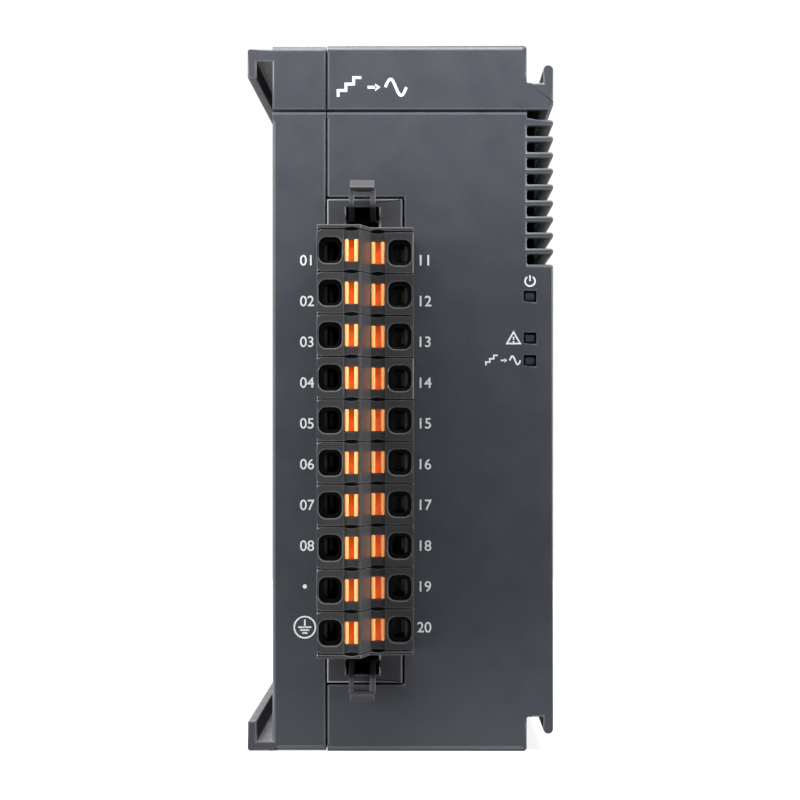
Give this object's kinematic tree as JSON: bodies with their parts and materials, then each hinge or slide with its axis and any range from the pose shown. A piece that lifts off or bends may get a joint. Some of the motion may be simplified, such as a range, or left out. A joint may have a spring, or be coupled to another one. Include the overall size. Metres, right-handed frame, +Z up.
{
  "type": "plc analogue output module",
  "caption": "Slim DIN-rail controller module with a removable two-tier push-in terminal plug, sprung orange release buttons, corner vents, lamp windows and hooked side rails.",
  "frame": {"origin": "middle of the flat face that rests on the DIN rail, on the rail's centre line", "axes": "+X right, +Y back towards the rail, +Z up, seen from the front; the front panel faces -Y"},
  "size_m": [0.0381, 0.089, 0.088],
  "materials": {
    "housing": "fine spark-eroded texture",
    "header": "moulded",
    "plug": "moulded",
    "latch": "moulded",
    "button": "satin",
    "lens": "smoked clear",
    "led": "moulded",
    "board": "solder mask",
    "chip": "moulded",
    "can": "satin",
    "contact_metal": "plated",
    "spring_steel": "bright",
    "label": "printed film, blank",
    "clip": "moulded"
  },
  "bodies": {
    "housing": {"left_housing": "housing", "right_housing": "housing", "rating_label": "label", "terminal_header": "header", "header_pins": "contact_metal", "latch_pins": "spring_steel", "light_pipe_power": "lens", "light_pipe_error": "lens", "light_pipe_ready": "lens", "indicator_leds": "led", "io_board": "board", "logic_board": "board", "processor_chip": "chip", "converter_chips": "chip", "isolator_chips": "chip", "power_module": "chip", "capacitors": "can", "board_link_socket": "chip", "board_link_pins": "contact_metal", "bus_spring_carrier": "header", "bus_springs": "contact_metal", "bus_pad_carrier": "header", "bus_pads": "contact_metal", "clip_spring": "spring_steel"},
    "plug": {"plug_body": "plug", "plug_base": "plug", "plug_springs": "spring_steel", "plug_contacts": "contact_metal"},
    "button_l01": {"button_l01": "button"},
    "button_l02": {"button_l02": "button"},
    "button_l03": {"button_l03": "button"},
    "button_l04": {"button_l04": "button"},
    "button_l05": {"button_l05": "button"},
    "button_l06": {"button_l06": "button"},
    "button_l07": {"button_l07": "button"},
    "button_l08": {"button_l08": "button"},
    "button_l09": {"button_l09": "button"},
    "button_l10": {"button_l10": "button"},
    "button_r01": {"button_r01": "button"},
    "button_r02": {"button_r02": "button"},
    "button_r03": {"button_r03": "button"},
    "button_r04": {"button_r04": "button"},
    "button_r05": {"button_r05": "button"},
    "button_r06": {"button_r06": "button"},
    "button_r07": {"button_r07": "button"},
    "button_r08": {"button_r08": "button"},
    "button_r09": {"button_r09": "button"},
    "button_r10": {"button_r10": "button"},
    "latch_top": {"latch_top": "latch"},
    "latch_bottom": {"latch_bottom": "latch"},
    "rail_clip": {"din_clip": "clip"}
  },
  "joints": [
    {"name": "plug_pull", "type": "slide", "parent": "housing", "child": "plug", "axis": [0, -1, 0], "range_m": [0, 0.025]},
    {"name": "press_l01", "type": "slide", "parent": "plug", "child": "button_l01", "axis": [0, 1, 0], "range_m": [0, 0.0012], "stiffness_N_per_m": 800, "springref_m": -0.0005},
    {"name": "press_l02", "type": "slide", "parent": "plug", "child": "button_l02", "axis": [0, 1, 0], "range_m": [0, 0.0012], "stiffness_N_per_m": 800, "springref_m": -0.0005},
    {"name": "press_l03", "type": "slide", "parent": "plug", "child": "button_l03", "axis": [0, 1, 0], "range_m": [0, 0.0012], "stiffness_N_per_m": 800, "springref_m": -0.0005},
    {"name": "press_l04", "type": "slide", "parent": "plug", "child": "button_l04", "axis": [0, 1, 0], "range_m": [0, 0.0012], "stiffness_N_per_m": 800, "springref_m": -0.0005},
    {"name": "press_l05", "type": "slide", "parent": "plug", "child": "button_l05", "axis": [0, 1, 0], "range_m": [0, 0.0012], "stiffness_N_per_m": 800, "springref_m": -0.0005},
    {"name": "press_l06", "type": "slide", "parent": "plug", "child": "button_l06", "axis": [0, 1, 0], "range_m": [0, 0.0012], "stiffness_N_per_m": 800, "springref_m": -0.0005},
    {"name": "press_l07", "type": "slide", "parent": "plug", "child": "button_l07", "axis": [0, 1, 0], "range_m": [0, 0.0012], "stiffness_N_per_m": 800, "springref_m": -0.0005},
    {"name": "press_l08", "type": "slide", "parent": "plug", "child": "button_l08", "axis": [0, 1, 0], "range_m": [0, 0.0012], "stiffness_N_per_m": 800, "springref_m": -0.0005},
    {"name": "press_l09", "type": "slide", "parent": "plug", "child": "button_l09", "axis": [0, 1, 0], "range_m": [0, 0.0012], "stiffness_N_per_m": 800, "springref_m": -0.0005},
    {"name": "press_l10", "type": "slide", "parent": "plug", "child": "button_l10", "axis": [0, 1, 0], "range_m": [0, 0.0012], "stiffness_N_per_m": 800, "springref_m": -0.0005},
    {"name": "press_r01", "type": "slide", "parent": "plug", "child": "button_r01", "axis": [0, 1, 0], "range_m": [0, 0.0012], "stiffness_N_per_m": 800, "springref_m": -0.0005},
    {"name": "press_r02", "type": "slide", "parent": "plug", "child": "button_r02", "axis": [0, 1, 0], "range_m": [0, 0.0012], "stiffness_N_per_m": 800, "springref_m": -0.0005},
    {"name": "press_r03", "type": "slide", "parent": "plug", "child": "button_r03", "axis": [0, 1, 0], "range_m": [0, 0.0012], "stiffness_N_per_m": 800, "springref_m": -0.0005},
    {"name": "press_r04", "type": "slide", "parent": "plug", "child": "button_r04", "axis": [0, 1, 0], "range_m": [0, 0.0012], "stiffness_N_per_m": 800, "springref_m": -0.0005},
    {"name": "press_r05", "type": "slide", "parent": "plug", "child": "button_r05", "axis": [0, 1, 0], "range_m": [0, 0.0012], "stiffness_N_per_m": 800, "springref_m": -0.0005},
    {"name": "press_r06", "type": "slide", "parent": "plug", "child": "button_r06", "axis": [0, 1, 0], "range_m": [0, 0.0012], "stiffness_N_per_m": 800, "springref_m": -0.0005},
    {"name": "press_r07", "type": "slide", "parent": "plug", "child": "button_r07", "axis": [0, 1, 0], "range_m": [0, 0.0012], "stiffness_N_per_m": 800, "springref_m": -0.0005},
    {"name": "press_r08", "type": "slide", "parent": "plug", "child": "button_r08", "axis": [0, 1, 0], "range_m": [0, 0.0012], "stiffness_N_per_m": 800, "springref_m": -0.0005},
    {"name": "press_r09", "type": "slide", "parent": "plug", "child": "button_r09", "axis": [0, 1, 0], "range_m": [0, 0.0012], "stiffness_N_per_m": 800, "springref_m": -0.0005},
    {"name": "press_r10", "type": "slide", "parent": "plug", "child": "button_r10", "axis": [0, 1, 0], "range_m": [0, 0.0012], "stiffness_N_per_m": 800, "springref_m": -0.0005},
    {"name": "latch_top_release", "type": "hinge", "parent": "housing", "child": "latch_top", "pos_m": [-0.00625, -0.0645, 0.0223], "axis": [-1, 0, 0], "range_deg": [0, 12], "stiffness_Nm_per_rad": 0.05, "springref_deg": -5.73},
    {"name": "latch_bottom_release", "type": "hinge", "parent": "housing", "child": "latch_bottom", "pos_m": [-0.00625, -0.0645, -0.0329], "axis": [1, 0, 0], "range_deg": [0, 12], "stiffness_Nm_per_rad": 0.05, "springref_deg": -5.73},
    {"name": "rail_clip_slide", "type": "slide", "parent": "housing", "child": "rail_clip", "axis": [0, 0, -1], "range_m": [0, 0.004], "stiffness_N_per_m": 1500, "springref_m": -0.001, "deforming": ["clip_spring"]}
  ]
}
